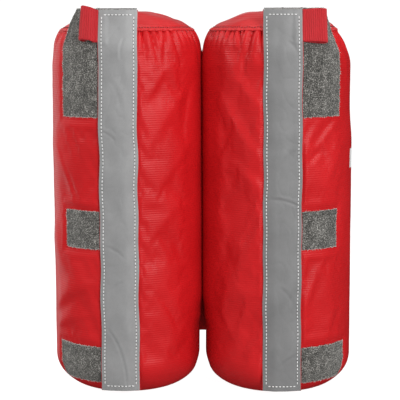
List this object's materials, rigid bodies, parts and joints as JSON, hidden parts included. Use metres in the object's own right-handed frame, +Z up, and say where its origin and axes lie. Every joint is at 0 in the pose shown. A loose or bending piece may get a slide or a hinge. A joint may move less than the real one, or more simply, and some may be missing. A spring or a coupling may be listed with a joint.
{
  "type": "sandbag",
  "caption": "Twin upright weight bag: red fabric tubes filled with sand, joined by a web at the back, with full-height reflective closure flaps and webbing pull loops.",
  "frame": {"origin": "on the floor, at the middle of the footprint", "axes": "+Z up along the tubes, +X to the right, the reflective flaps face -Y and the web is on the +Y side"},
  "size_m": [0.402, 0.2018, 0.5149],
  "materials": {
    "red_nylon": "coated nylon, faint ribs, satin sheen",
    "red_webbing": "ribbed webbing, matte",
    "reflective_tape": "woven-backed reflective tape, soft silver sheen",
    "loop_tape": "brushed pile, fuzzy cut edges",
    "hook_tape": "moulded hooks on a woven base",
    "liner_film": "translucent film",
    "tie_plastic": "moulded nylon",
    "sand": "dry, fine"
  },
  "bodies": {
    "web": {"web_panel": "red_nylon"},
    "left_tube": {"left_body_panel": "red_nylon", "left_top_panel": "red_nylon", "left_base_panel": "red_nylon", "left_top_seam": "red_nylon", "left_base_seam": "red_nylon", "left_web_seam": "red_nylon", "left_top_loop_patch": "loop_tape", "left_middle_loop_patch": "loop_tape", "left_bottom_loop_patch": "loop_tape", "left_liner": "liner_film", "left_liner_tie": "tie_plastic", "left_sand": "sand"},
    "left_flap": {"left_flap": "red_nylon", "left_reflective_tape": "reflective_tape", "left_hook_strips": "hook_tape"},
    "left_pull": {"left_pull_loop": "red_webbing"},
    "right_tube": {"right_body_panel": "red_nylon", "right_top_panel": "red_nylon", "right_base_panel": "red_nylon", "right_top_seam": "red_nylon", "right_base_seam": "red_nylon", "right_web_seam": "red_nylon", "right_top_loop_patch": "loop_tape", "right_middle_loop_patch": "loop_tape", "right_bottom_loop_patch": "loop_tape", "right_liner": "liner_film", "right_liner_tie": "tie_plastic", "right_sand": "sand"},
    "right_flap": {"right_flap": "red_nylon", "right_reflective_tape": "reflective_tape", "right_hook_strips": "hook_tape"},
    "right_pull": {"right_pull_loop": "red_webbing"}
  },
  "joints": [
    {"name": "left_web_fold", "type": "hinge", "parent": "web", "child": "left_tube", "pos_m": [-0.031, 0.07471, 0.2535], "axis": [0, 0, -1], "range_deg": [0, 90]},
    {"name": "left_flap_peel", "type": "hinge", "parent": "left_tube", "child": "left_flap", "pos_m": [-0.08133, -0.09783, 0.233], "axis": [0, 0, 1], "range_deg": [0, 150]},
    {"name": "left_pull_swing", "type": "hinge", "parent": "left_flap", "child": "left_pull", "pos_m": [-0.1332, -0.09369, 0.4705], "axis": [0.0113, 0.2586, 0.9659], "range_deg": [0, 90]},
    {"name": "right_web_fold", "type": "hinge", "parent": "web", "child": "right_tube", "pos_m": [0.031, 0.07471, 0.2535], "axis": [0, 0, 1], "range_deg": [0, 90]},
    {"name": "right_flap_peel", "type": "hinge", "parent": "right_tube", "child": "right_flap", "pos_m": [0.08133, -0.09783, 0.233], "axis": [0, 0, -1], "range_deg": [0, 150]},
    {"name": "right_pull_swing", "type": "hinge", "parent": "right_flap", "child": "right_pull", "pos_m": [0.1332, -0.09369, 0.4705], "axis": [0.0113, -0.2586, -0.9659], "range_deg": [0, 90]}
  ]
}
